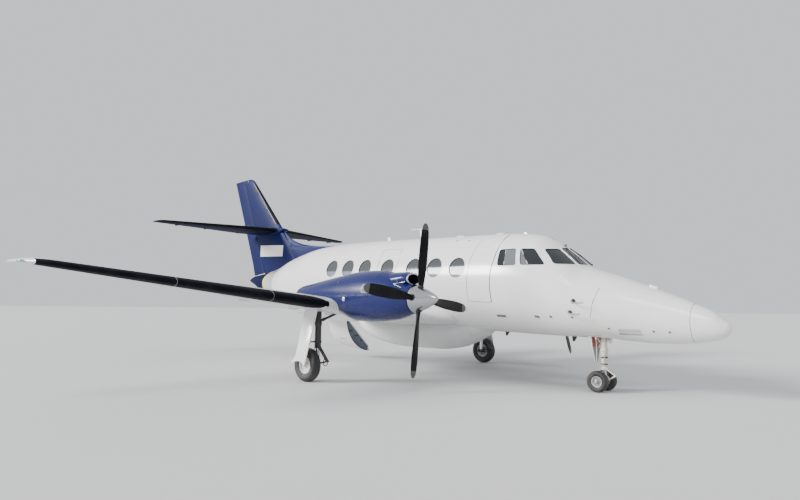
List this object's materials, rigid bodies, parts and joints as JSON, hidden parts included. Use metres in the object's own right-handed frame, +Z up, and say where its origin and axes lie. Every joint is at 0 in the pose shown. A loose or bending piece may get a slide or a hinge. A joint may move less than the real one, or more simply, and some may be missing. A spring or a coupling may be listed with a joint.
{
  "type": "twin turboprop airliner",
  "caption": "Low-wing commuter airliner with wing-mounted turboprops, mid-fin tailplane, belly pod, tricycle gear and an airstair door standing open.",
  "frame": {"origin": "on the ground under the middle of the overall box of the parked aircraft", "axes": "+X towards the nose, +Y to port (left), +Z up; the wheels stand on z = 0"},
  "size_m": [14.37, 15.85, 5.44],
  "materials": {
    "white_paint": "gloss",
    "blue_paint": "gloss",
    "gear_paint": "satin",
    "bright_metal": "polished",
    "blade_black": "satin",
    "engine_metal": "matte",
    "tyre": "matte",
    "interior": "matte",
    "glazing": "polished"
  },
  "bodies": {
    "airframe": {"belly_pod": "white_paint", "cabin_section": "white_paint", "cockpit_section": "white_paint", "engine_left": "engine_metal", "engine_right": "engine_metal", "entry_section": "white_paint", "fin": "blue_paint", "flap_left": "white_paint", "flap_right": "white_paint", "instrument_panel": "interior", "leg_door_left": "white_paint", "leg_door_right": "white_paint", "main_leg_left": "gear_paint", "main_leg_right": "gear_paint", "nacelle_left": "blue_paint", "nacelle_right": "blue_paint", "nose_door_left": "white_paint", "nose_door_right": "white_paint", "nose_leg": "gear_paint", "nose_section": "white_paint", "pilot_seat_left": "interior", "pilot_seat_right": "interior", "radome": "white_paint", "side_window_front_left": "glazing", "side_window_front_right": "glazing", "side_window_rear_left": "glazing", "side_window_rear_right": "glazing", "tail_section": "white_paint", "tailplane_left": "white_paint", "tailplane_right": "white_paint", "ventral_fin": "blue_paint", "windscreen_centre_left": "glazing", "windscreen_centre_right": "glazing", "windscreen_corner_left": "glazing", "windscreen_corner_right": "glazing", "wing_left": "white_paint", "wing_right": "white_paint"},
    "propeller_left": {"propeller_left": "blade_black", "spinner_left": "bright_metal"},
    "propeller_right": {"propeller_right": "blade_black", "spinner_right": "bright_metal"},
    "nose_steering": {"nose_fork": "gear_paint"},
    "nose_wheels": {"nose_wheel_left": "tyre", "nose_wheel_right": "tyre"},
    "main_wheel_left": {"main_wheel_left": "tyre"},
    "main_wheel_right": {"main_wheel_right": "tyre"},
    "passenger_door": {"passenger_door": "white_paint"},
    "rudder": {"rudder": "blue_paint"},
    "elevator": {"elevator_left": "white_paint", "elevator_right": "white_paint"},
    "aileron_left": {"aileron_left": "white_paint"},
    "aileron_right": {"aileron_right": "white_paint"}
  },
  "joints": [
    {"name": "propeller_left_spin", "type": "hinge", "parent": "airframe", "child": "propeller_left", "pos_m": [2.965, 2.5, 1.59], "axis": [1, 0, 0], "continuous": true},
    {"name": "propeller_right_spin", "type": "hinge", "parent": "airframe", "child": "propeller_right", "pos_m": [2.965, -2.5, 1.59], "axis": [1, 0, 0], "continuous": true},
    {"name": "nose_gear_steering", "type": "hinge", "parent": "airframe", "child": "nose_steering", "pos_m": [5.14, 0, 0.5], "axis": [0, 0, 1], "range_deg": [-45, 45]},
    {"name": "nose_wheels_spin", "type": "hinge", "parent": "nose_steering", "child": "nose_wheels", "pos_m": [5.085, 0, 0.185], "axis": [0, 1, 0], "continuous": true},
    {"name": "main_wheel_left_spin", "type": "hinge", "parent": "airframe", "child": "main_wheel_left", "pos_m": [0.525, 2.97, 0.32], "axis": [0, 1, 0], "continuous": true},
    {"name": "main_wheel_right_spin", "type": "hinge", "parent": "airframe", "child": "main_wheel_right", "pos_m": [0.525, -2.97, 0.32], "axis": [0, 1, 0], "continuous": true},
    {"name": "passenger_door_hinge", "type": "hinge", "parent": "airframe", "child": "passenger_door", "pos_m": [-2.845, 0.6, 1.22], "axis": [1, 0, 0], "range_deg": [0, 129]},
    {"name": "rudder_hinge", "type": "hinge", "parent": "airframe", "child": "rudder", "pos_m": [-5.375, 0, 2.445], "axis": [-0.3975, 0, 0.9176], "range_deg": [-24, 24]},
    {"name": "elevator_hinge", "type": "hinge", "parent": "airframe", "child": "elevator", "pos_m": [-5.745, 0, 3.67], "axis": [0, 1, 0], "range_deg": [-25, 15]},
    {"name": "aileron_left_hinge", "type": "hinge", "parent": "airframe", "child": "aileron_left", "pos_m": [0.09707, 5, 1.71894], "axis": [0.0486, 0.9928, 0.1099], "range_deg": [-20, 20]},
    {"name": "aileron_right_hinge", "type": "hinge", "parent": "airframe", "child": "aileron_right", "pos_m": [0.09707, -5, 1.71894], "axis": [0.0486, -0.9928, 0.1099], "range_deg": [-20, 20]}
  ]
}
